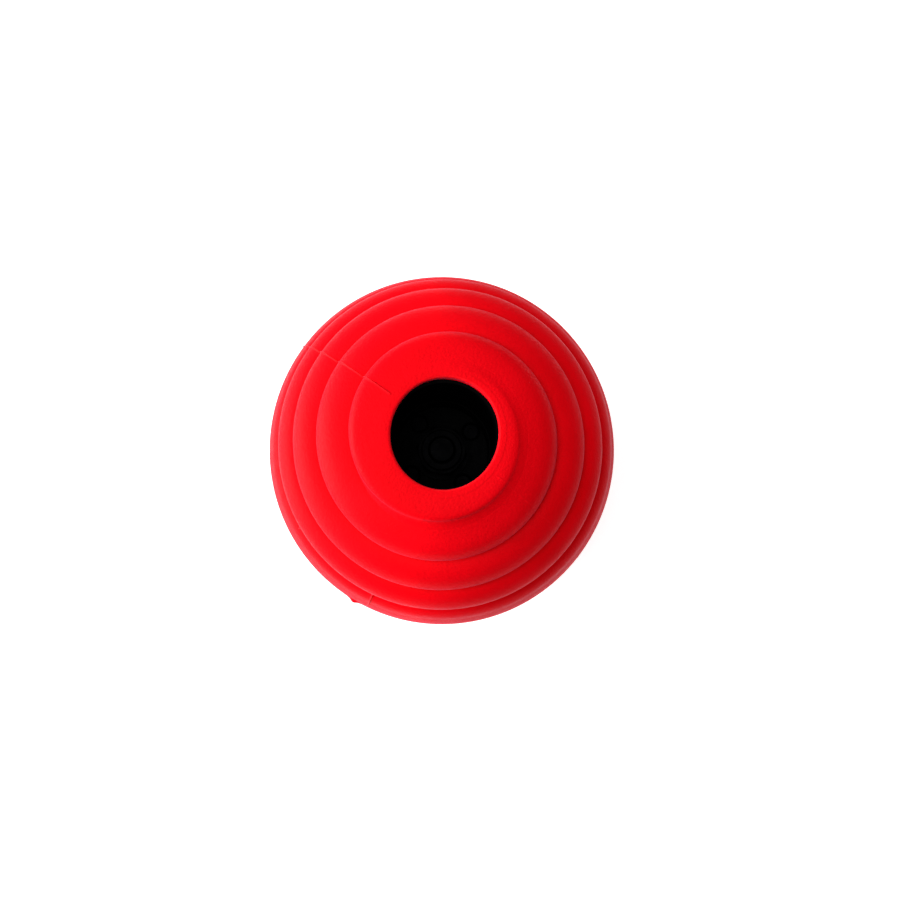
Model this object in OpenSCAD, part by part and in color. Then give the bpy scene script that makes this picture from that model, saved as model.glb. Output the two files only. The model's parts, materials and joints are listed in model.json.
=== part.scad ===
// Diabolo: two closed rubber bells, spiral-ribbed on their outer domes, clamped on a steel axle.
// A string sleeve runs between them on two ball bearings and a one-way roller clutch.
// It stands on the lip of its lower bell. Origin: centre of that lip, +Z up. Millimetres.

/* [Bell] */
// Radius of the bell at its widest plane
bell_r = 50; // [49:0.5:53]
// Height of the dome, from the widest plane to the lip
dome_h = 40; // [39.5:0.5:41]
// Depth of the smooth bowl that guides the string, from the widest plane to the hub
bowl_depth = 19.4; // [17:0.2:22]
// Thickness of rubber under the grooves
wall_t = 2; // [1.8:0.2:3]

/* [Spiral rib] */
// Height between one turn of the rib and the next
rib_pitch = 7.9; // [7.5:0.1:8.2]
// Depth of the groove between two turns
groove_depth = 2.2; // [1.4:0.1:2.4]
// Radius at which the rib comes out of the crown at full height
rib_start_r = 23.5; // [22.8:0.1:24.4]
// Angle about the axis at which it does so
rib_start_angle = -109; // [-180:1:180]

/* [Opening] */
// Radius of the round opening in the lip
hole_r = 14.5; // [14.2:0.1:14.6]
// Outer radius of the lip's flat ring
lip_r = 16.8; // [16.6:0.1:17]
// Inner radius of the well that the opening leads into
well_r = 13.9; // [13.8:0.1:13.9]

/* [Axle] */
// Radius of the axle inside the ball bearings
axle_r = 4; // [3.9:0.05:4]
// Length of the axle
axle_len = 70; // [69:0.5:74]
// Radius of the string sleeve at its waist
sleeve_waist_r = 9.2; // [9:0.1:9.8]

/* [Hidden] */
$fn = 96;

// Heights above the middle of the axle, in the order the pieces are stacked on it
journal_z = 5;                          // end of the clutch journal, where the bearing starts
bearing_z = journal_z + 5;              // outer end of the bearing
spacer_z = bearing_z + 0.9;             // hub disc starts here
flare_z = 15.6;                         // the bowl starts here, level with the hub disc's edge
boss_z = flare_z + 0.8;                 // bell's boss starts here
core_z = boss_z + 3.6;                  // hub core's flange starts here
floor_z = core_z + 3.5;                 // floor of the well
nut_z = floor_z + 1.6;                  // top of the washer
nut_h = 8;
shoulder_z = axle_len / 2 + 1.2;        // the well's clear bore starts here, past the axle's end
widest_z = flare_z + bowl_depth;
lip_z = widest_z + dome_h;
tube_z = lip_z - 3.5;                   // the well's tube ends here, under the lip
mid_z = lip_z;                          // height of the axle's middle above the lower lip

hub_r = 17.6;                           // where the bowl meets the hub disc
dome_r = bell_r - 0.5;                  // the rim stands this little proud of the crests
rim_h = 2.6;                            // the rim's straight band above the widest plane
skin = groove_depth + wall_t;           // from the crests to the inside of the dome
spigot_r = 9;                           // hub core's spigot, inside the bell's boss
nut_well_r = well_r - 0.2;              // the well round the nut and the screw heads
tube_t = 2.3;                           // wall of the well's tube
slack = 0.05;                           // clearance of a hole round the axle

screw_circle_r = 10.9;
screw_r = 1.5;
screw_head_r = 2.75;
screw_count = 4;
screw_sink = 2.2;                       // depth of the counterbore for a screw's head
screw_len = 8;
screw_clearance = 0.1;

ball_r = 1.15;
ball_circle_r = 6.2;
ball_count = 9;
race_gap = 0.04;                        // play between a ball and its races
inner_shoulder_r = 5.35;
outer_shoulder_r = 7.05;
bearing_r = 8;
shield_r = 7.3;
shield_t = 0.25;
shield_recess = 0.5;
bearing_mid_z = (journal_z + bearing_z) / 2;

journal_r = 4.6;
clutch_r = 7;
roller_r = 0.9;
roller_count = 8;
roller_circle_r = journal_r + roller_r + 0.03;

// Colours
red = [0.86, 0.02, 0.09];
black_nylon = [0.04, 0.04, 0.045];
steel = [0.72, 0.73, 0.75];
dark_steel = [0.16, 0.16, 0.17];
aluminium = [0.8, 0.81, 0.83];
white_nylon = [0.9, 0.9, 0.86];

// ---- Spiral dome ----
// A place on the dome is given in turns of the rib, counted down from where the rib comes out of
// the crown. Share is how far round its turn the place is, so a crest passes wherever share is 0.
steps = 72;                             // columns round the dome
first_turn = -0.62;                     // the flat crown ends here
fade_turn = 3.9;                        // the rib has died away here
last_turn = 4.5;                        // the rim begins here
under_share = 16 / steps;               // share of a turn from a crest down to its groove
row_shares = [0, 8, 16, 22, 32, 44, 58] / steps;
crown_z = dome_h - 0.05;                // the crown lies just under the lip ring's face
rib_start_z = crown_z - 2;
run = rib_start_z / rib_pitch;          // turns from the rib's start to the widest plane
// Above this turn the dome levels out, so that it reaches the crown flat
bend_turn = -first_turn - 2 * (crown_z - rib_start_z) / rib_pitch;
bend = rib_pitch / 2 / (bend_turn - first_turn);
soften = [-0.24:0.04:0.241];            // turns over which the rib is smoothed near the crown
soft_width = 0.12;                      // how quickly that smoothing falls off, in turns

function ramp(x) = let (c = min(max(x, 0), 1)) c * c * (3 - 2 * c);
function turn_z(t) =
    t < bend_turn ? crown_z - bend * pow(t - first_turn, 2) : rib_start_z - rib_pitch * t;
function crest_r(t) = dome_r - (dome_r - rib_start_r) * pow(1 - t / run, 2);
function groove_r(t) = crest_r(t) - groove_depth;
function rib_height(t) = ramp((t - first_turn) / 0.4) * ramp((fade_turn - t) / 0.6);
function crisp(turn) = ramp((turn + 0.03) / 0.16);
// 0 where the nearest crest is still part of the soft crown, 1 where it's a crisp edge
function rib_sharpness(t, share) =
    let (next = ramp((share - 0.35) / 0.3))
    crisp(t - share) * (1 - next) + crisp(t + 1 - share) * next;
function rib_r(t, share) =
    share < under_share
    ? let (crest = crest_r(t - share), groove = groove_r(t + under_share - share))
        groove + (crest - groove) * sqrt(1 - pow(share / under_share, 2))
    : let (crest = crest_r(t + 1 - share), groove = groove_r(t + under_share - share),
           rise = (share - under_share) / (1 - under_share))
        groove + (crest - groove) * sqrt(1 - pow(1 - rise, 2));
function bell_curve(x) = exp(-pow(x / soft_width, 2) / 2);
function wrap(x) = x - floor(x);
function total(list, i = 0) = i < len(list) ? list[i] + total(list, i + 1) : 0;
// The rib with its crest and groove smoothed away, as it is where it rises out of the crown
function soft_rib_r(t, share) =
    total([for (d = soften) bell_curve(d) * rib_r(t + d, wrap(share + d))])
    / total([for (d = soften) bell_curve(d)]);
function dome_point(t, share, column) =
    let (sharp = rib_sharpness(t, share), w = rib_height(t),
         soft = sharp < 1 ? soft_rib_r(t, share) : 0,
         rib = rib_r(t, share) * sharp + soft * (1 - sharp),
         r = crest_r(t) + (rib - crest_r(t)) * w,
         angle = rib_start_angle - 360 * column / steps)
    [r * cos(angle), r * sin(angle), widest_z + turn_z(t)];

rows_per_turn = len(row_shares);
row_count = rows_per_turn * (ceil(last_turn - first_turn) + 3);
function row_turn(row) = floor(first_turn - 1) + floor(row / rows_per_turn);
function row_share(row) = row_shares[row % rows_per_turn];
function turn_at(row, column) = row_turn(row) + row_share(row) + column / steps;
function point_index(row, column) =
    column == steps ? point_index(row + rows_per_turn, 0)
    : turn_at(row, column) <= first_turn + 0.001 ? column
    : turn_at(row, column) >= last_turn - 0.001 ? steps + column
    : (row + 2) * steps + column;
function is_triangle(f) = f[0] != f[1] && f[1] != f[2] && f[0] != f[2];

module spiral_dome() {
    top = [for (c = [0:steps - 1]) dome_point(first_turn, 0, c)];
    bottom = [for (c = [0:steps - 1]) dome_point(last_turn, 0, c)];
    side = [for (row = [0:row_count], c = [0:steps - 1])
        dome_point(turn_at(row, c), row_share(row), c)];
    triangles = [for (row = [0:row_count - rows_per_turn - 1], c = [0:steps - 1])
        let (a = point_index(row, c), b = point_index(row, c + 1),
             d = point_index(row + 1, c), e = point_index(row + 1, c + 1))
        each [[a, e, b], [a, d, e]]];
    polyhedron(
        points = concat(top, bottom, side),
        faces = concat(
            [[for (c = [0:steps - 1]) c]],
            [[for (c = [steps - 1:-1:0]) steps + c]],
            [for (f = triangles) if (is_triangle(f)) f]
        ),
        convexity = 8
    );
}

// ---- Bell ----
rim_inner_r = dome_r - skin;
rim_round = 1;                          // the rim's band is rounded over to the dome
collar_r = well_r + tube_t + 2.5;       // the collar under the lip holds the well's tube
collar_h = 6.5;
lip_skirt = 3;                          // the lip ring goes this far down into the crown

function dome_slope(z) = 2 * (dome_r - rib_start_r) * z / pow(rib_start_z, 2);
function inner_dome(z) =
    let (slope = dome_slope(z), long = sqrt(1 + slope * slope),
         r = dome_r - (dome_r - rib_start_r) * pow(z / rib_start_z, 2))
    [r - skin / long, widest_z + z - skin * slope / long];

module bell_body() {
    bowl = [for (a = [0:5:90]) [hub_r + (bell_r - hub_r) * sin(a), widest_z - bowl_depth * cos(a)]];
    rotate_extrude($fn = 144)
        polygon(concat(
            [[0, flare_z]],
            bowl,
            [for (a = [0:30:90])
                [bell_r - rim_round * (1 - cos(a)), widest_z + rim_h + rim_round * sin(a)]],
            [[0, widest_z + rim_h + rim_round]]
        ));
}

module lip_ring() {
    rotate_extrude($fn = 144)
        polygon([[0, lip_z - lip_skirt], [lip_r + 0.7, lip_z - lip_skirt],
                 [lip_r + 0.7, lip_z - 0.15], [lip_r, lip_z], [0, lip_z]]);
}

module bell_inside() {
    bowl_floor = widest_z - core_z;
    rotate_extrude($fn = 144)
        polygon(concat(
            [[0, flare_z - 1], [hub_r, flare_z - 1], [hub_r, boss_z],
             [spigot_r, boss_z], [spigot_r, core_z]],
            [for (a = [0:10:90])
                [hub_r + (rim_inner_r - hub_r) * sin(a), widest_z - bowl_floor * cos(a)]],
            [for (z = [3:3:dome_h - 4]) inner_dome(z)],
            [[collar_r, tube_z - 0.2], [collar_r, tube_z - collar_h], [well_r + tube_t, tube_z - collar_h],
             [well_r + tube_t, tube_z], [hole_r, tube_z], [hole_r, lip_z - 0.6],
             [hole_r + 0.6, lip_z], [hole_r + 0.6, lip_z + 1], [0, lip_z + 1]]
        ));
}

module bell() {
    color(red)
        difference() {
            union() {
                spiral_dome();
                bell_body();
                lip_ring();
            }
            bell_inside();
            hub_screw_holes(screw_r + screw_clearance, boss_z - 1, core_z + 1);
        }
}

// ---- Hub ----
module round_hub_circle() {
    for (i = [0:screw_count - 1])
        rotate([0, 0, 45 + i * 360 / screw_count])
            translate([screw_circle_r, 0, 0])
                children();
}

module hub_screw_holes(r, from_z, to_z) {
    round_hub_circle()
        translate([0, 0, from_z])
            cylinder(r = r, h = to_z - from_z, $fn = 32);
}

module hub_core() {
    color(black_nylon)
        difference() {
            rotate_extrude()
                polygon([[axle_r + slack, boss_z], [spigot_r, boss_z], [spigot_r, core_z],
                         [hub_r, core_z], [hub_r, floor_z - 0.8], [hub_r - 0.8, floor_z],
                         [well_r + tube_t, floor_z], [well_r + tube_t, tube_z], [well_r, tube_z],
                         [well_r, shoulder_z], [nut_well_r, shoulder_z], [nut_well_r, floor_z],
                         [axle_r + slack, floor_z]]);
            hub_screw_holes(screw_r + screw_clearance, core_z - 1, floor_z + 1);
            hub_screw_holes(screw_head_r + screw_clearance, floor_z - screw_sink, floor_z + 1);
        }
}

module hub_disc() {
    color(aluminium)
        difference() {
            rotate_extrude()
                polygon([[axle_r + slack, spacer_z], [10, spacer_z], [10.5, spacer_z + 0.3],
                         [hub_r - 0.3, flare_z - 0.2], [hub_r, flare_z], [hub_r, boss_z],
                         [axle_r + slack, boss_z]]);
            hub_screw_holes(screw_r, floor_z - screw_sink - screw_len - 0.2, boss_z + 1);
        }
}

module hub_screws() {
    head_z = floor_z - screw_sink;
    dome_z = 1.2;
    key_r = 1.15;
    color(dark_steel)
        round_hub_circle()
            difference() {
                union() {
                    translate([0, 0, head_z - screw_len])
                        cylinder(r = screw_r, h = screw_len, $fn = 32);
                    translate([0, 0, head_z])
                        cylinder(r = screw_head_r, h = dome_z, $fn = 40);
                    translate([0, 0, head_z + dome_z])
                        cylinder(r1 = screw_head_r, r2 = screw_head_r - 0.7, h = 0.45, $fn = 40);
                }
                translate([0, 0, head_z + dome_z / 2])
                    cylinder(r = key_r, h = 2, $fn = 6);
            }
}

module washer() {
    washer_r = 8;
    color(dark_steel)
        translate([0, 0, floor_z])
            difference() {
                cylinder(r = washer_r, h = nut_z - floor_z);
                translate([0, 0, -1])
                    cylinder(r = axle_r + 0.2, h = 4);
            }
}

// The nylon ring sits in the nut's round collar, from ring_z up
nut_collar_r = 5.9;
ring_r = 5.1;
ring_z = 5.6;
ring_h = 1.9;

module lock_nut() {
    across_flats = 13;
    corner_r = across_flats / 2 / cos(30);
    hex_h = 6.2;
    edge = 0.3;
    color(dark_steel)
        translate([0, 0, nut_z])
            difference() {
                union() {
                    intersection() {
                        cylinder(r = corner_r, h = hex_h, $fn = 6);
                        rotate_extrude()
                            polygon([[0, 0], [corner_r - 0.8, 0], [corner_r, 0.5],
                                     [corner_r, hex_h - 0.5], [corner_r - 0.8, hex_h], [0, hex_h]]);
                    }
                    cylinder(r = nut_collar_r, h = nut_h - edge);
                    translate([0, 0, nut_h - edge])
                        cylinder(r1 = nut_collar_r, r2 = nut_collar_r - edge, h = edge);
                }
                translate([0, 0, -1])
                    cylinder(r = axle_r, h = nut_h + 2);
                translate([0, 0, ring_z])
                    cylinder(r = ring_r, h = ring_h);
            }
}

module nut_insert() {
    color(white_nylon)
        translate([0, 0, nut_z + ring_z])
            difference() {
                cylinder(r = ring_r, h = ring_h);
                translate([0, 0, -1])
                    cylinder(r = axle_r, h = ring_h + 2);
            }
}

module inner_spacer() {
    color(steel)
        translate([0, 0, bearing_z])
            difference() {
                cylinder(r = inner_shoulder_r, h = spacer_z - bearing_z);
                translate([0, 0, -1])
                    cylinder(r = axle_r + slack, h = 3);
            }
}

// ---- Ball bearing ----
module race_track() {
    rotate_extrude()
        translate([ball_circle_r, bearing_mid_z])
            circle(r = ball_r + race_gap, $fn = 48);
}

module inner_race() {
    color(steel)
        difference() {
            rotate_extrude()
                polygon([[axle_r, journal_z], [inner_shoulder_r, journal_z],
                         [inner_shoulder_r, bearing_z], [axle_r, bearing_z]]);
            race_track();
        }
}

module outer_race() {
    color(steel)
        difference() {
            rotate_extrude()
                polygon([[shield_r, journal_z], [bearing_r, journal_z], [bearing_r, bearing_z],
                         [shield_r, bearing_z], [shield_r, bearing_z - shield_recess],
                         [outer_shoulder_r, bearing_z - shield_recess],
                         [outer_shoulder_r, journal_z + shield_recess],
                         [shield_r, journal_z + shield_recess]]);
            race_track();
        }
}

module shields() {
    color(dark_steel)
        for (z = [journal_z + shield_recess - shield_t, bearing_z - shield_recess])
            translate([0, 0, z])
                difference() {
                    cylinder(r = shield_r, h = shield_t);
                    translate([0, 0, -1])
                        cylinder(r = inner_shoulder_r + 0.15, h = 3);
                }
}

module round_ball_circle() {
    for (i = [0:ball_count - 1])
        rotate([0, 0, i * 360 / ball_count])
            translate([ball_circle_r, 0, bearing_mid_z])
                children();
}

module balls() {
    color(steel)
        round_ball_circle()
            sphere(r = ball_r, $fn = 32);
}

module ball_cage() {
    cage_t = 0.9;
    cage_h = 3.1;
    color(steel)
        difference() {
            rotate_extrude()
                translate([ball_circle_r - cage_t / 2, bearing_mid_z - cage_h / 2])
                    square([cage_t, cage_h]);
            round_ball_circle()
                rotate([0, 90, 0])
                    cylinder(r = ball_r + 0.05, h = 4, center = true, $fn = 32);
        }
}

// ---- Axle, sleeve and clutch ----
thread_pitch = 1.25;
thread_depth = 0.6;
thread_from_z = core_z;
thread_end_z = axle_len / 2 - 1;
thread_count = floor((thread_end_z - thread_from_z) / thread_pitch);
thread_flat = 0.15;                     // each crest is this wide

module axle() {
    half = axle_len / 2;
    end_edge = 0.7;
    crests = [for (i = [0:thread_count - 1])
        let (z = thread_from_z + i * thread_pitch)
        each [[axle_r, z], [axle_r - thread_depth, z + thread_pitch / 2],
              [axle_r, z + thread_pitch - thread_flat]]];
    upper_side = concat(
        [[journal_r, 0], [journal_r, journal_z], [axle_r, journal_z]],
        crests,
        [[axle_r, half - end_edge], [axle_r - end_edge, half], [0, half]]
    );
    color(steel)
        for (turned = [0, 180])
            rotate([turned, 0, 0])
                rotate_extrude()
                    polygon(concat([[0, 0]], upper_side));
}

sleeve_end_z = bearing_z + 0.4;

module sleeve() {
    end_r = 10;
    side_z = sleeve_end_z - 0.8;
    outside = [for (i = [-8:8])
        [sleeve_waist_r + (end_r - sleeve_waist_r) * pow(i / 8, 2), side_z * i / 8]];
    color(aluminium)
        rotate_extrude($fn = 120)
            polygon(concat(
                [[bearing_r, -sleeve_end_z], [end_r - 0.5, -sleeve_end_z]],
                outside,
                [[end_r - 0.5, sleeve_end_z], [bearing_r, sleeve_end_z], [bearing_r, journal_z],
                 [clutch_r, journal_z], [clutch_r, -journal_z], [bearing_r, -journal_z]]
            ));
}

clutch_end_z = journal_z - 0.4;
shell_t = 0.5;                          // wall of the clutch's drawn shell
shell_lip_t = 0.35;                     // its turned-in ends
shell_lip_r = journal_r + 0.4;

module roller_shell() {
    inner_z = clutch_end_z - shell_lip_t;
    color(steel)
        rotate_extrude()
            polygon([[shell_lip_r, -clutch_end_z], [clutch_r, -clutch_end_z], [clutch_r, clutch_end_z],
                     [shell_lip_r, clutch_end_z], [shell_lip_r, inner_z], [clutch_r - shell_t, inner_z],
                     [clutch_r - shell_t, -inner_z], [shell_lip_r, -inner_z]]);
}

module round_roller_circle() {
    for (i = [0:roller_count - 1])
        rotate([0, 0, i * 360 / roller_count])
            translate([roller_circle_r, 0, 0])
                children();
}

roller_len = 7.2;

module rollers() {
    color(dark_steel)
        round_roller_circle()
            cylinder(r = roller_r, h = roller_len, center = true, $fn = 32);
}

module roller_cage() {
    cage_h = 8.3;
    color(white_nylon)
        difference() {
            cylinder(r = clutch_r - shell_t - 0.3, h = cage_h, center = true);
            cylinder(r = journal_r + 0.3, h = cage_h + 2, center = true);
            round_roller_circle()
                cylinder(r = roller_r + 0.05, h = roller_len + 0.2, center = true, $fn = 32);
        }
}

// ---- Placing: the lower side is the upper side turned over about the X axis ----
module upper() {
    translate([0, 0, mid_z])
        children();
}

module lower() {
    translate([0, 0, mid_z])
        rotate([180, 0, 0])
            children();
}

module upper_bell() upper() bell();
module upper_hub_core() upper() hub_core();
module upper_hub_disc() upper() hub_disc();
module upper_hub_screws() upper() hub_screws();
module upper_washer() upper() washer();
module upper_lock_nut() upper() lock_nut();
module upper_nut_insert() upper() nut_insert();
module upper_inner_spacer() upper() inner_spacer();
module upper_inner_race() upper() inner_race();
module upper_outer_race() upper() outer_race();
module upper_shields() upper() shields();
module upper_balls() upper() balls();
module upper_ball_cage() upper() ball_cage();

module lower_bell() lower() bell();
module lower_hub_core() lower() hub_core();
module lower_hub_disc() lower() hub_disc();
module lower_hub_screws() lower() hub_screws();
module lower_washer() lower() washer();
module lower_lock_nut() lower() lock_nut();
module lower_nut_insert() lower() nut_insert();
module lower_inner_spacer() lower() inner_spacer();
module lower_inner_race() lower() inner_race();
module lower_outer_race() lower() outer_race();
module lower_shields() lower() shields();
module lower_balls() lower() balls();
module lower_ball_cage() lower() ball_cage();

module axle_shaft() upper() axle();
module string_sleeve() upper() sleeve();
module clutch_shell() upper() roller_shell();
module clutch_rollers() upper() rollers();
module clutch_cage() upper() roller_cage();

upper_bell();
upper_hub_core();
upper_hub_disc();
upper_hub_screws();
upper_washer();
upper_lock_nut();
upper_nut_insert();
upper_inner_spacer();
upper_inner_race();
upper_outer_race();
upper_shields();
upper_balls();
upper_ball_cage();
lower_bell();
lower_hub_core();
lower_hub_disc();
lower_hub_screws();
lower_washer();
lower_lock_nut();
lower_nut_insert();
lower_inner_spacer();
lower_inner_race();
lower_outer_race();
lower_shields();
lower_balls();
lower_ball_cage();
axle_shaft();
string_sleeve();
clutch_shell();
clutch_rollers();
clutch_cage();
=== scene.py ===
import json
import math

import bpy
from mathutils import Matrix, Vector

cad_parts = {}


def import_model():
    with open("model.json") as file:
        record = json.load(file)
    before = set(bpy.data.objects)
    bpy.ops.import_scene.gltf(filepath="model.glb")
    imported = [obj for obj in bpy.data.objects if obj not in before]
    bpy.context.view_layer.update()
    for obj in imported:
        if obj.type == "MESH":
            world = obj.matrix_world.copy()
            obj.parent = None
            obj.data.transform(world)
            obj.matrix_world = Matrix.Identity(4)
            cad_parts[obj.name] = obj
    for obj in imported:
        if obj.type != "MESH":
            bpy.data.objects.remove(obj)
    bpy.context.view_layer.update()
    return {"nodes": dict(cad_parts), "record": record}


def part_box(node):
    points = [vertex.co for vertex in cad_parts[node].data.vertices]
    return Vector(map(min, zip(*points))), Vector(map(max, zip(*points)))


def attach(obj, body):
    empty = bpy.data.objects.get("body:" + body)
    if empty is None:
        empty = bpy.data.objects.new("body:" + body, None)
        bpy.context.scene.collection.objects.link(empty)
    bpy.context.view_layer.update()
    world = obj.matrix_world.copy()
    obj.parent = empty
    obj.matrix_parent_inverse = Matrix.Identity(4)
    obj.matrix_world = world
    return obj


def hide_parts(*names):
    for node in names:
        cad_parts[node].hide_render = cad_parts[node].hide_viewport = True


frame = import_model()

# ---- Places from the frame, in metres. Heights are above the middle of the axle. ----
MM = 0.001
BELL_LOW, BELL_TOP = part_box("upper_bell")
MIDDLE = BELL_TOP.z / 2
BELL_R = BELL_TOP.x
LIP_Z = BELL_TOP.z - MIDDLE
FLARE_Z = BELL_LOW.z - MIDDLE
HUB_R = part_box("upper_hub_disc")[1].x
BOSS_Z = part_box("upper_hub_disc")[1].z - MIDDLE
TUBE_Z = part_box("upper_hub_core")[1].z - MIDDLE

# ---- The bell's own measures, close to the CAD's ----
DOME_H = 40 * MM                       # from the widest plane to the lip
WIDEST_Z = LIP_Z - DOME_H
DOME_R = BELL_R - 0.5 * MM             # the crests would reach this radius at the widest plane
LIP_R = 16.8 * MM
HOLE_R = 14.7 * MM
HOLE_EDGE = 0.7 * MM                   # radius of the opening's rounded edge
TUBE_R = 16.2 * MM                     # outside of the black tube that lines the well
COLLAR_H, COLLAR_T = 6.5 * MM, 2.5 * MM   # the bell's inner collar, which grips that tube
CORE_Z = BOSS_Z + 3.6 * MM             # the bell's boss lies between the hub disc and here
SPIGOT_R = 9 * MM                      # the hub core's spigot passes the boss

# ---- The spiral rib, by the CAD's rule. It's measured in turns, from its start down to the rim. ----
RIB_PITCH = 7.9 * MM
GROOVE_DEPTH = 2.2 * MM
SKIN = GROOVE_DEPTH + 2 * MM           # from the crests to the inside
UNDER_SHARE = 16 / 72                  # share of the pitch that a crest's underside takes
RIB_START_R = 23.5 * MM
RIB_START_ANGLE = -109
CROWN_Z = DOME_H - 0.05 * MM
RIB_START_Z = CROWN_Z - 2 * MM
RUN = RIB_START_Z / RIB_PITCH          # turns from the rib's start to the widest plane
FIRST_TURN = -0.62                     # the rib begins to rise out of the crown
RISE_TURNS = 0.4
FADE_TURN = 3.9                        # the rib has died away
FADE_TURNS = 0.6
RIM_TURN = 3.3                         # the dome begins to swell out to the rim
RIM_H = 2.6 * MM                       # the dome's rows end this far above the widest plane
LAST_TURN = (RIB_START_Z - RIM_H) / RIB_PITCH
# Up to this turn the rib's slope grows from nothing, so it starts level with the crown
BEND_TURN = -FIRST_TURN - 2 * (CROWN_Z - RIB_START_Z) / RIB_PITCH
BEND = RIB_PITCH / 2 / (BEND_TURN - FIRST_TURN)
CRISP_TURN = -0.03                     # crests are soft up to this turn
CRISP_TURNS = 0.16                     # and crisp this much further on
SOFT_WIDTH = 0.12                      # the soft rib is a mean over about this many turns on either side
SOFT_STEPS = [i * 0.04 for i in range(-6, 7)]

# ---- Where the photo's bell differs from a true round. Angles are in degrees from +X. ----
OVAL_ANGLE = 98.7                      # the bell is longest this way
BELL_OVAL = 0.0062
HOLE_ANGLE = 78                        # and the opening this way
HOLE_OVAL = 0.0165
HOLE_OVAL_R, HOLE_OVAL_FADE = 22 * MM, 6 * MM   # the opening's oval has faded away at this radius
SHIFT_ANGLE = 54                       # the opening sits off the axle
SHIFT = 0.18 * MM
SHIFT_FADE = 1.5 * MM
LEAN_ANGLE = -33                       # the dome leans between its lip and its rim
LEAN = 0.33 * MM

# ---- What the mould leaves on the skin, and the pale highlights painted on it ----
# The parting line of the mould's two halves, two short fins and a nub of flash.
# Each is an angle past the rib's start, a height, a width, and its span above the widest plane.
MOULD_MARKS = (
    (98.8, 0.26 * MM, 0.18 * MM, 0, DOME_H),
    (281, 0.05 * MM, 0.18 * MM, 0, DOME_H),
    (31.8, 0.5 * MM, 0.25 * MM, 12.4 * MM, 14.8 * MM),
    (-2.7, 0.4 * MM, 0.2 * MM, 6 * MM, 14.6 * MM),
    (2.4, 0.7 * MM, 1.2 * MM, -1 * MM, 3.5 * MM),
)
MARK_END = 0.6 * MM                    # a mark rises over this length at each end
THIN_MARK = 1 * MM                     # marks narrower than this get a painted highlight
MARK_HIGHLIGHT = 2.4 / MM                    # strength of that painted highlight, this much for each metre of their height
EDGE_HIGHLIGHT = 0.5                         # how strong a pale highlight is painted on the opening's edge
CREST_WIDTH = 0.3 * MM                 # a pale highlight is painted along the rib's edge over this width
CREST_HIGHLIGHT = 0.25                       # the painted highlight is light on the first turn, full further out


# ---- Bell mesh ----
def ramp(x):
    """0 up to x = 0 and 1 from x = 1, with a smooth change between."""
    c = min(max(x, 0), 1)
    return c * c * (3 - 2 * c)


def turn_z(t):
    """The crest's height above the widest plane at turn t."""
    if t < BEND_TURN:
        return CROWN_Z - BEND * (t - FIRST_TURN) ** 2
    return RIB_START_Z - RIB_PITCH * t


def crest_r(t):
    """The crest's radius at turn t: the dome is a parabola."""
    return DOME_R - (DOME_R - RIB_START_R) * (1 - t / RUN) ** 2


def rib_height(t):
    """The rib's share of its full height: it rises out of the crown and dies away at the rim."""
    return ramp((t - FIRST_TURN) / RISE_TURNS) * ramp((FADE_TURN - t) / FADE_TURNS)


def rib_sharpness(t, share):
    """0 where the nearest crest is still part of the soft crown, 1 where it's a crisp edge."""
    crests = (t - share, t + 1 - share)
    above, below = (ramp((turn - CRISP_TURN) / CRISP_TURNS) for turn in crests)
    return above + (below - above) * ramp((share - 0.35) / 0.3)


def rib_r(t, share):
    """Radius at turn t, where share is how far round the turn the last crest above is."""
    groove = crest_r(t + UNDER_SHARE - share) - GROOVE_DEPTH
    if share < UNDER_SHARE:
        crest = crest_r(t - share)
        return groove + (crest - groove) * math.sqrt(max(0, 1 - (share / UNDER_SHARE) ** 2))
    crest = crest_r(t + 1 - share)
    rise = (share - UNDER_SHARE) / (1 - UNDER_SHARE)
    return groove + (crest - groove) * math.sqrt(max(0, 1 - (1 - rise) ** 2))


def soft_rib_r(t, share):
    """The rib with its crest and groove smoothed away, as it is where it rises out of the crown."""
    weights = [math.exp(-((d / SOFT_WIDTH) ** 2) / 2) for d in SOFT_STEPS]
    radii = [rib_r(t + d, (share + d) % 1) for d in SOFT_STEPS]
    return sum(w * r for w, r in zip(weights, radii)) / sum(weights)


def crest_highlight(t, share):
    """How strongly a pale highlight is painted on the skin at turn t: only beside a crest, and less on the
    first turn.
    """
    off = min(share, 1 - share) * RIB_PITCH / CREST_WIDTH
    further_out = ramp((t - 0.7) / 0.4)
    highlight = math.exp(-off * off) * rib_sharpness(t, share) * rib_height(t)
    return highlight * (CREST_HIGHLIGHT + (1 - CREST_HIGHLIGHT) * further_out)


def dome_place(t, share):
    """Radius and height of the dome's skin at turn t."""
    sharp = rib_sharpness(t, share)
    rib = rib_r(t, share) * sharp
    if sharp < 1:
        rib += soft_rib_r(t, share) * (1 - sharp)
    rim = (BELL_R - DOME_R) * ramp((t - RIM_TURN) / (LAST_TURN - RIM_TURN))
    return crest_r(t) + (rib - crest_r(t)) * rib_height(t) + rim, WIDEST_Z + turn_z(t)


def row_shares():
    """Rows of one turn: close together at the crest and in the groove, where the surface turns fastest."""
    under, upper, beside_crest = 6, 18, 0.018
    shares = [UNDER_SHARE * math.sin(math.radians(90 * i / under)) for i in range(under)]
    shares += [
        UNDER_SHARE + (1 - UNDER_SHARE) * (1 - math.cos(math.radians(90 * i / upper))) for i in range(upper)
    ]
    return sorted(shares + [beside_crest, 1 - beside_crest])


def column_angles():
    """One column a degree, and more beside the mould's marks."""
    beside = [0, 0.1, 0.2, 0.32, 0.46, 0.62, 0.8]
    angles = {float(a) for a in range(360)}
    for mark in MOULD_MARKS:
        angles |= {(mark[0] + side * b) % 360 for b in beside for side in (1, -1)}
    return sorted(angles)


def arc(cx, cz, r, start, end, count):
    """Points on a circle in the (radius, height) plane, from start to end in degrees."""
    return [
        (cx + r * math.cos(math.radians(a)), cz + r * math.sin(math.radians(a)))
        for a in (start + (end - start) * i / count for i in range(count + 1))
    ]


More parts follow.
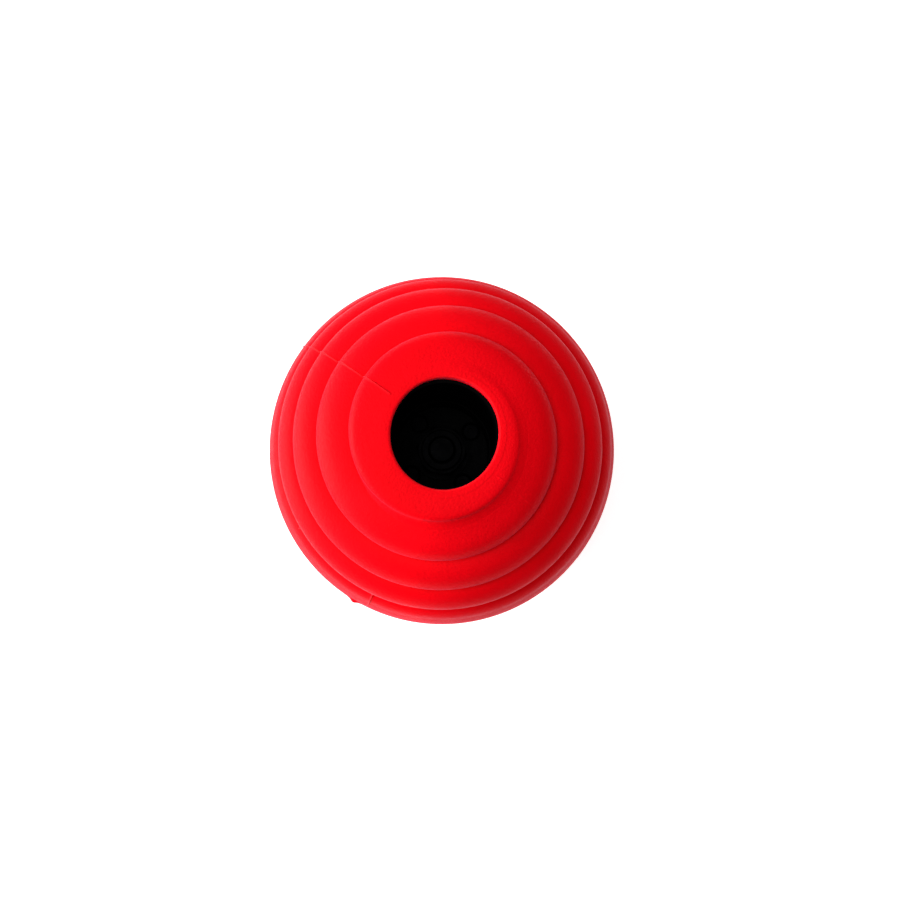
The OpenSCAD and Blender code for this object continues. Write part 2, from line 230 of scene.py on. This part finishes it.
def bowl_rings():
    """From the spigot's hole, round the hub disc's recess and out along the bowl to the widest plane."""
    edge = 0.3 * MM
    depth = WIDEST_Z - FLARE_Z
    rings = [(SPIGOT_R, CORE_Z), (SPIGOT_R, BOSS_Z), (HUB_R, BOSS_Z), (HUB_R, FLARE_Z + edge)]
    rings += [(HUB_R + 0.3 * edge, FLARE_Z + 0.3 * edge)]
    for a in range(1, 91, 2):
        rad = math.radians(a)
        rings.append((HUB_R + (BELL_R - HUB_R) * math.sin(rad), WIDEST_Z - depth * math.cos(rad)))
    return rings + [(BELL_R - 0.02 * MM, WIDEST_Z + 1.4 * MM)]


def lip_rings():
    """From the crown over the lip, down the opening's wall and back inside to the spigot's hole."""
    top, seat, small = LIP_Z, TUBE_Z, 0.1 * MM
    collar_r, collar_low = TUBE_R + COLLAR_T, seat - COLLAR_H
    rings = [(LIP_R, top - 0.01 * MM), (LIP_R - 0.8 * MM, top), (HOLE_R + 1 * MM, top)]
    rings += arc(HOLE_R + HOLE_EDGE, top - HOLE_EDGE, HOLE_EDGE, 90, 180, 8)
    rings += [(HOLE_R, top - 1.6 * MM), (HOLE_R, seat + small), (HOLE_R + small, seat), (TUBE_R, seat)]
    rings += [(TUBE_R, collar_low), (collar_r, collar_low), (collar_r, seat - 2 * small)]
    for height in range(36, 0, -3):    # the dome's inside, square to the crests' parabola
        z = height * MM
        slope = 2 * (DOME_R - RIB_START_R) * z / RIB_START_Z**2
        long = math.hypot(1, slope)
        r = DOME_R - (DOME_R - RIB_START_R) * (z / RIB_START_Z) ** 2
        rings.append((r - SKIN / long, WIDEST_Z + z - SKIN * slope / long))
    for a in range(90, -1, -6):
        rad = math.radians(a)
        rings.append((
            HUB_R + (DOME_R - SKIN - HUB_R) * math.sin(rad),
            WIDEST_Z - (WIDEST_Z - CORE_Z) * math.cos(rad),
        ))
    return rings


def squeeze(r, z, angle):
    """The share of its radius that a place keeps. The bell is round where it grips the hub and the tube."""
    near = 0.1 * MM
    if r < TUBE_R + COLLAR_T + near and z < TUBE_Z + 2 * near:
        return 1
    bell, hole = BELL_OVAL * ramp((z - BOSS_Z) / (WIDEST_Z - BOSS_Z)), 0
    if z > TUBE_Z and r < DOME_R / 2:
        hole = HOLE_OVAL * ramp((HOLE_OVAL_R - r) / HOLE_OVAL_FADE)
    return 1 - sum(
        share * (1 - math.cos(2 * (angle - math.radians(longest))))
        for share, longest in ((bell, OVAL_ANGLE), (hole, HOLE_ANGLE))
    )


def bell_mesh(name):
    """One closed skin: bowl, spiral dome, lip, opening and inside, as rings round the axle and sheared rows
    along the rib. Rows that would pass the dome's ends collapse onto its first or last ring."""
    columns, shares = column_angles(), row_shares()
    steps, per_turn = len(columns), len(shares)
    first_row_turn = math.floor(FIRST_TURN - 1)
    row_count = per_turn * (math.ceil(LAST_TURN) - first_row_turn)
    at_end = 0.002                     # turns from the dome's ends within which a row collapses
    # the third list holds, for each point, how strongly a pale highlight is painted there
    points, faces, painted_highlight = [], [], []

    def add(r, z, column):
        """Adds one point, and returns its number."""
        angle = math.radians(RIB_START_ANGLE - columns[column])
        on_edge = r < HOLE_R + 0.5 * MM and LIP_Z - 0.4 * MM < z < LIP_Z
        r *= squeeze(r, z, angle)
        off, across = 0, math.radians(LEAN_ANGLE)
        if r > LIP_R:
            off = LEAN * math.sin(math.pi * min(max((z - WIDEST_Z) / DOME_H, 0), 1))
        elif z > TUBE_Z:
            off, across = SHIFT * ramp((LIP_R - r) / SHIFT_FADE), math.radians(SHIFT_ANGLE)
        points.append((
            r * math.cos(angle) + off * math.cos(across),
            r * math.sin(angle) + off * math.sin(across),
            z,
        ))
        # painted highlight round the opening's edge
        painted_highlight.append(EDGE_HIGHLIGHT if on_edge else 0.0)
        return len(points) - 1

    def ring(r, z):
        return [add(r, z, c) for c in range(steps)]

    def dome_ring(t):
        return [add(*dome_place(t, (t - a / 360) % 1), c) for c, a in enumerate(columns)]

    top_ring, last_ring = dome_ring(FIRST_TURN), dome_ring(LAST_TURN)
    made = {}

    def dome_point(row, column):
        if column == steps:
            return dome_point(row + per_turn, 0)
        share = shares[row % per_turn]
        t = first_row_turn + row // per_turn + share + columns[column] / 360
        if t <= FIRST_TURN + at_end:
            return top_ring[column]
        if t >= LAST_TURN - at_end:
            return last_ring[column]
        if (row, column) not in made:
            made[row, column] = add(*dome_place(t, share), column)
            # painted highlight along the rib's crest
            painted_highlight[-1] = crest_highlight(t, share)
        return made[row, column]

    def add_face(corners):
        kept = [v for i, v in enumerate(corners) if v != corners[i - 1]]
        if len(kept) > 2:
            faces.append(kept)

    def join(outer, inner):
        for c in range(steps):
            d = (c + 1) % steps
            add_face([outer[c], outer[d], inner[d], inner[c]])

    for row in range(row_count):
        for c in range(steps):
            corners = (row, c), (row, c + 1), (row + 1, c + 1), (row + 1, c)
            add_face([dome_point(*corner) for corner in corners])
    lower = [ring(r, z) for r, z in bowl_rings()]
    upper = [ring(r, z) for r, z in lip_rings()]
    around = [last_ring] + lower[::-1] + upper[::-1] + [top_ring]
    for a, b in zip(around, around[1:]):
        join(a, b)
    mesh = bpy.data.meshes.new(name)
    mesh.from_pydata(points, [], faces)
    mesh.update()
    raise_mould_marks(mesh, painted_highlight)
    # stores where a pale highlight is painted on the skin
    mesh.attributes.new("painted_highlight", "FLOAT", "POINT").data.foreach_set("value", painted_highlight)
    mesh.shade_smooth()
    mesh.set_sharp_from_angle(angle=math.radians(50))
    return mesh


def raise_mould_marks(mesh, painted_highlight):
    """Moves the skin out a little along the mould's marks, and lists the thin ones where a pale highlight
    is painted.
    """
    normals = [Vector(n.vector) for n in mesh.vertex_normals]
    for v, normal in zip(mesh.vertices, normals):
        r, z = math.hypot(v.co.x, v.co.y), v.co.z - WIDEST_Z
        faces_in = normal.dot(Vector((v.co.x, v.co.y, 0))) < -0.3 * r
        if z < -1 * MM or r < LIP_R + 0.5 * MM or faces_in:
            continue
        angle = RIB_START_ANGLE - math.degrees(math.atan2(v.co.y, v.co.x))
        for mark, height, width, low, high in MOULD_MARKS:
            off = (angle - mark + 180) % 360 - 180
            away = math.radians(off) * r / width
            if abs(away) < 4:
                share = math.exp(-away * away)
                if high < DOME_H:
                    share *= ramp((z - low) / MARK_END) * ramp((high - z) / MARK_END)
                v.co += normal * height * share
                v.co.z = min(v.co.z, LIP_Z)
                if width < THIN_MARK:
                    # painted highlight along the thin mould marks
                    painted_highlight[v.index] = max(painted_highlight[v.index], MARK_HIGHLIGHT * height * share)


def turned_over(mesh, name):
    """The upper bell's mesh, turned over about the X axis through the axle's middle."""
    copy = mesh.copy()
    copy.name = name
    copy.transform(Matrix.Rotation(math.pi, 4, "X"))
    return copy


def place(mesh, name, body, node, slot, material):
    """Makes a piece of the mesh, which stands in for one CAD node."""
    mesh.transform(Matrix.Translation((0, 0, MIDDLE)))
    piece = bpy.data.objects.new(name, mesh)
    bpy.context.collection.objects.link(piece)
    mesh.materials.clear()
    mesh.materials.append(material)
    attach(piece, body)
    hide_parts(node)
    return piece


# ---- Materials ----
class Shader:
    """A Principled material with short calls for the procedural nodes that feed it."""

    def __init__(self, name, metallic=0.0, **fixed):
        self.material = bpy.data.materials.new(name)
        self.material.use_nodes = True
        self.tree = self.material.node_tree
        self.bsdf = self.tree.nodes["Principled BSDF"]
        self.bsdf.inputs["Metallic"].default_value = metallic
        for socket, value in fixed.items():
            self.bsdf.inputs[socket.replace("_", " ")].default_value = value
        self.place = self.tree.nodes.new("ShaderNodeTexCoord").outputs["Object"]

    def link(self, a, b):
        self.tree.links.new(a, b)

    def noise(self, scale, detail=4.0, roughness=0.6, stretch=None):
        node = self.tree.nodes.new("ShaderNodeTexNoise")
        node.inputs["Scale"].default_value = scale
        node.inputs["Detail"].default_value = detail
        node.inputs["Roughness"].default_value = roughness
        source = self.place
        if stretch:
            mapping = self.tree.nodes.new("ShaderNodeMapping")
            mapping.inputs["Scale"].default_value = stretch
            self.link(self.place, mapping.inputs["Vector"])
            source = mapping.outputs["Vector"]
        self.link(source, node.inputs["Vector"])
        return node.outputs["Fac"]

    def spread(self, value, low, high, to_low=0.0, to_high=1.0):
        node = self.tree.nodes.new("ShaderNodeMapRange")
        for key, number in (("From Min", low), ("From Max", high), ("To Min", to_low), ("To Max", to_high)):
            node.inputs[key].default_value = number
        self.link(value, node.inputs["Value"])
        return node.outputs["Result"]

    def mix(self, share, a, b):
        node = self.tree.nodes.new("ShaderNodeMix")
        node.data_type = "RGBA"
        for socket, value in ((node.inputs[6], a), (node.inputs[7], b)):
            if isinstance(value, tuple):
                socket.default_value = (*value, 1)
            else:
                self.link(value, socket)
        self.link(share, node.inputs[0])
        return node.outputs[2]

    def add(self, a, b, weight=1.0):
        node = self.tree.nodes.new("ShaderNodeMath")
        node.operation = "MULTIPLY_ADD"
        self.link(b, node.inputs[0])
        node.inputs[1].default_value = weight
        self.link(a, node.inputs[2])
        return node.outputs[0]

    def multiply(self, a, b):
        node = self.tree.nodes.new("ShaderNodeMath")
        node.operation = "MULTIPLY"
        self.link(a, node.inputs[0])
        self.link(b, node.inputs[1])
        return node.outputs[0]

    def attribute(self, name):
        node = self.tree.nodes.new("ShaderNodeAttribute")
        node.attribute_name = name
        return node.outputs["Fac"]

    def bump(self, height, strength, distance):
        node = self.tree.nodes.new("ShaderNodeBump")
        node.inputs["Strength"].default_value = strength
        node.inputs["Distance"].default_value = distance
        self.link(height, node.inputs["Height"])
        self.link(node.outputs["Normal"], self.bsdf.inputs["Normal"])

    def colour(self, socket):
        self.link(socket, self.bsdf.inputs["Base Color"])

    def roughness(self, socket):
        self.link(socket, self.bsdf.inputs["Roughness"])

    def rings(self, scale):
        """Fine rings round the axle, as a lathe leaves them: noise that changes with radius and height."""
        split = self.tree.nodes.new("ShaderNodeSeparateXYZ")
        self.link(self.place, split.inputs[0])
        across = self.tree.nodes.new("ShaderNodeVectorMath")
        across.operation = "LENGTH"
        flat = self.tree.nodes.new("ShaderNodeCombineXYZ")
        self.link(split.outputs["X"], flat.inputs["X"])
        self.link(split.outputs["Y"], flat.inputs["Y"])
        self.link(flat.outputs[0], across.inputs[0])
        both = self.tree.nodes.new("ShaderNodeCombineXYZ")
        self.link(across.outputs["Value"], both.inputs["X"])
        self.link(split.outputs["Z"], both.inputs["Z"])
        node = self.tree.nodes.new("ShaderNodeTexNoise")
        node.inputs["Scale"].default_value = scale
        node.inputs["Detail"].default_value = 2
        self.link(both.outputs[0], node.inputs["Vector"])
        return node.outputs["Fac"]


def red_rubber():
    """Matte soft-touch rubber: a powdery grain, a pale highlight painted along the crests, the thin mould
    marks and the opening's edge, and a faint bloom at grazing angles.
    """
    s = Shader("red_rubber", Sheen_Weight=0.06, Sheen_Roughness=0.4, Specular_IOR_Level=0.03)
    s.bsdf.inputs["Sheen Tint"].default_value = (1, 0.4, 0.8, 1)
    broad = s.noise(45, 3)
    grain = s.noise(1400, 3, 0.7)
    tone = s.mix(s.spread(broad, 0.35, 0.65), (0.86, 0.0002, 0.005), (0.80, 0.0001, 0.004))
    tone = s.mix(s.spread(grain, 0.5, 0.8, 0, 0.3), tone, (0.6, 0.0001, 0.002))
    # random variation in the painted highlight's strength
    painted_highlight = s.spread(s.noise(600, 4), 0.3, 0.6, 0.15, 0.6)
    edge = s.multiply(s.attribute("painted_highlight"), painted_highlight)
    # pale colour painted where the highlights fall: painted highlight
    s.colour(s.mix(edge, tone, (1.0, 0.02, 0.025)))
    s.roughness(s.spread(s.noise(900, 4), 0.3, 0.7, 0.48, 0.58))
    s.bump(s.add(grain, s.noise(700, 3), 0.5), 0.7, 0.00016)
    return s.material


def black_nylon():
    s = Shader("black_nylon", Specular_IOR_Level=0.015)
    # Colour set far darker than real black nylon: partly the part's own black, partly painted shade for the
    # deep well it lines.
    s.colour(s.mix(s.spread(s.noise(60, 3), 0.3, 0.7), (0.0005, 0.0005, 0.0006), (0.001, 0.001, 0.0011)))
    s.roughness(s.spread(s.noise(500, 4), 0.3, 0.7, 0.45, 0.6))
    s.bump(s.noise(1500, 4), 0.25, 0.0001)
    return s.material


def turned_metal(name, bright, dark, rough, ring_scale, ring_strength):
    """Metal off a lathe: fine rings, a little tone from handling, and satin roughness."""
    s = Shader(name, metallic=1.0)
    rings = s.rings(ring_scale)
    s.colour(s.mix(s.spread(s.noise(180, 4), 0.3, 0.7), bright, dark))
    s.roughness(s.spread(rings, 0.3, 0.7, rough - 0.06, rough + 0.08))
    s.bump(rings, ring_strength, 0.00005)
    return s.material


def black_steel():
    s = Shader("black_steel", metallic=1.0)
    worn = s.spread(s.noise(420, 5, 0.7), 0.62, 0.8)
    # Colour set far darker than real blackened steel: partly its own black, partly painted shade so the nut
    # deep in the well stays unseen.
    s.colour(s.mix(worn, (0.0016, 0.0016, 0.0018), (0.008, 0.008, 0.009)))
    s.roughness(s.spread(s.noise(300, 4), 0.3, 0.7, 0.42, 0.6))
    s.bump(s.noise(1600, 3), 0.2, 0.00005)
    return s.material


def white_nylon():
    s = Shader("white_nylon", Specular_IOR_Level=0.4)
    s.colour(s.mix(s.spread(s.noise(200, 3), 0.3, 0.7), (0.78, 0.77, 0.70), (0.70, 0.69, 0.62)))
    s.roughness(s.spread(s.noise(700, 3), 0.3, 0.7, 0.4, 0.55))
    s.bump(s.noise(1800, 3), 0.2, 0.00005)
    return s.material


MATERIALS = {
    "red_rubber": red_rubber(),
    "black_nylon": black_nylon(),
    "black_steel": black_steel(),
    "white_nylon": white_nylon(),
}
# Bright colour, dark colour, roughness, and the lathe rings' fineness and strength
TURNED_METALS = {
    "anodised_aluminium": ((0.62, 0.63, 0.65), (0.55, 0.56, 0.58), 0.34, 1800, 0.25),
    "polished_aluminium": ((0.76, 0.77, 0.79), (0.66, 0.67, 0.69), 0.2, 2600, 0.15),
    "bright_steel": ((0.58, 0.59, 0.6), (0.48, 0.49, 0.5), 0.28, 2200, 0.2),
    "bearing_steel": ((0.7, 0.71, 0.72), (0.64, 0.65, 0.66), 0.12, 3000, 0.05),
    "shield_steel": ((0.42, 0.43, 0.44), (0.34, 0.35, 0.36), 0.36, 2000, 0.2),
}
MATERIALS.update({name: turned_metal(name, *look) for name, look in TURNED_METALS.items()})


def paint_cad_nodes():
    for sub in frame["record"]["subparts"]:
        node = frame["nodes"][sub["node"]]
        node.data.materials.clear()
        node.data.materials.append(MATERIALS[sub["material_slot"]])


# ---- Camera, stage and light ----
def camera():
    """The view down the axle, tilted a few degrees, with the near lip towards the top of the frame."""
    distance, tilt, roll = 400 * MM, math.radians(5.92), math.radians(8.67)
    aim_right, aim_up = 2.27 * MM, -0.60 * MM
    on_axle = Vector((0, 0, MIDDLE + WIDEST_Z + 3.94 * MM))
    back = Vector((0, -math.sin(tilt), math.cos(tilt)))
    right, up = Vector((1, 0, 0)), Vector((0, math.cos(tilt), math.sin(tilt)))
    right, up = math.cos(roll) * right + math.sin(roll) * up, math.cos(roll) * up - math.sin(roll) * right
    place = on_axle + back * distance
    back = (place - (on_axle + right * aim_right + up * aim_up)).normalized()
    right = up.cross(back).normalized()
    up = back.cross(right)
    data = bpy.data.cameras.new("camera")
    data.sensor_width, data.lens = 36, 56.12
    data.clip_start, data.clip_end = 0.01, 20
    cam = bpy.data.objects.new("camera", data)
    cam.matrix_world = Matrix((
        (right.x, up.x, back.x, place.x),
        (right.y, up.y, back.y, place.y),
        (right.z, up.z, back.z, place.z),
        (0, 0, 0, 1),
    ))
    bpy.context.collection.objects.link(cam)
    bpy.context.scene.camera = cam


def floor():
    half, z = 1.5, -0.2 * MM           # a hair below the part, so the faces don't fight
    corners = [(-half, -half, z), (half, -half, z), (half, half, z), (-half, half, z)]
    mesh = bpy.data.meshes.new("floor")
    mesh.from_pydata(corners, [], [(0, 1, 2, 3)])
    piece = bpy.data.objects.new("floor", mesh)
    bpy.context.collection.objects.link(piece)
    s = Shader("floor_white", Roughness=0.9, Specular_IOR_Level=0.1)
    s.bsdf.inputs["Base Color"].default_value = (0.9, 0.9, 0.9, 1)
    s.bsdf.inputs["Emission Color"].default_value = (1, 1, 1, 1)
    s.bsdf.inputs["Emission Strength"].default_value = 0.72
    mesh.materials.append(s.material)


def softbox(name, azimuth, elevation, distance, width, height, power):
    """A square light aimed at the upper bell. Azimuth is in the row's XY plane, from +X, in degrees."""
    a, e = math.radians(azimuth), math.radians(elevation)
    aim = Vector((0, 0, MIDDLE + WIDEST_Z))
    out = Vector((math.cos(a) * math.cos(e), math.sin(a) * math.cos(e), math.sin(e)))
    data = bpy.data.lights.new(name, "AREA")
    data.shape, data.size, data.size_y, data.energy = "RECTANGLE", width, height, power
    lamp = bpy.data.objects.new(name, data)
    lamp.location = aim + out * distance
    lamp.rotation_mode = "QUATERNION"
    lamp.rotation_quaternion = out.to_track_quat("Z", "Y")
    bpy.context.collection.objects.link(lamp)


def world():
    w = bpy.data.worlds.new("world")
    w.use_nodes = True
    background = w.node_tree.nodes["Background"]
    background.inputs["Color"].default_value = (1, 1, 1, 1)
    background.inputs["Strength"].default_value = 0.07
    bpy.context.scene.world = w


camera()
floor()
world()
softbox("softbox_left", 188, 11, 0.8, 0.6, 0.6, 17.5)
softbox("softbox_top", 100, 38, 0.8, 0.6, 0.6, 1.5)
softbox("softbox_front", 200, 76, 0.8, 0.5, 0.5, 3.7)
bpy.context.scene.view_settings.view_transform = "Standard"

paint_cad_nodes()
upper = bell_mesh("upper_bell_skin")
lower = turned_over(upper, "lower_bell_skin")
place(upper, "upper_bell_skin", "hub", "upper_bell", "red_rubber", MATERIALS["red_rubber"])
place(lower, "lower_bell_skin", "hub", "lower_bell", "red_rubber", MATERIALS["red_rubber"])
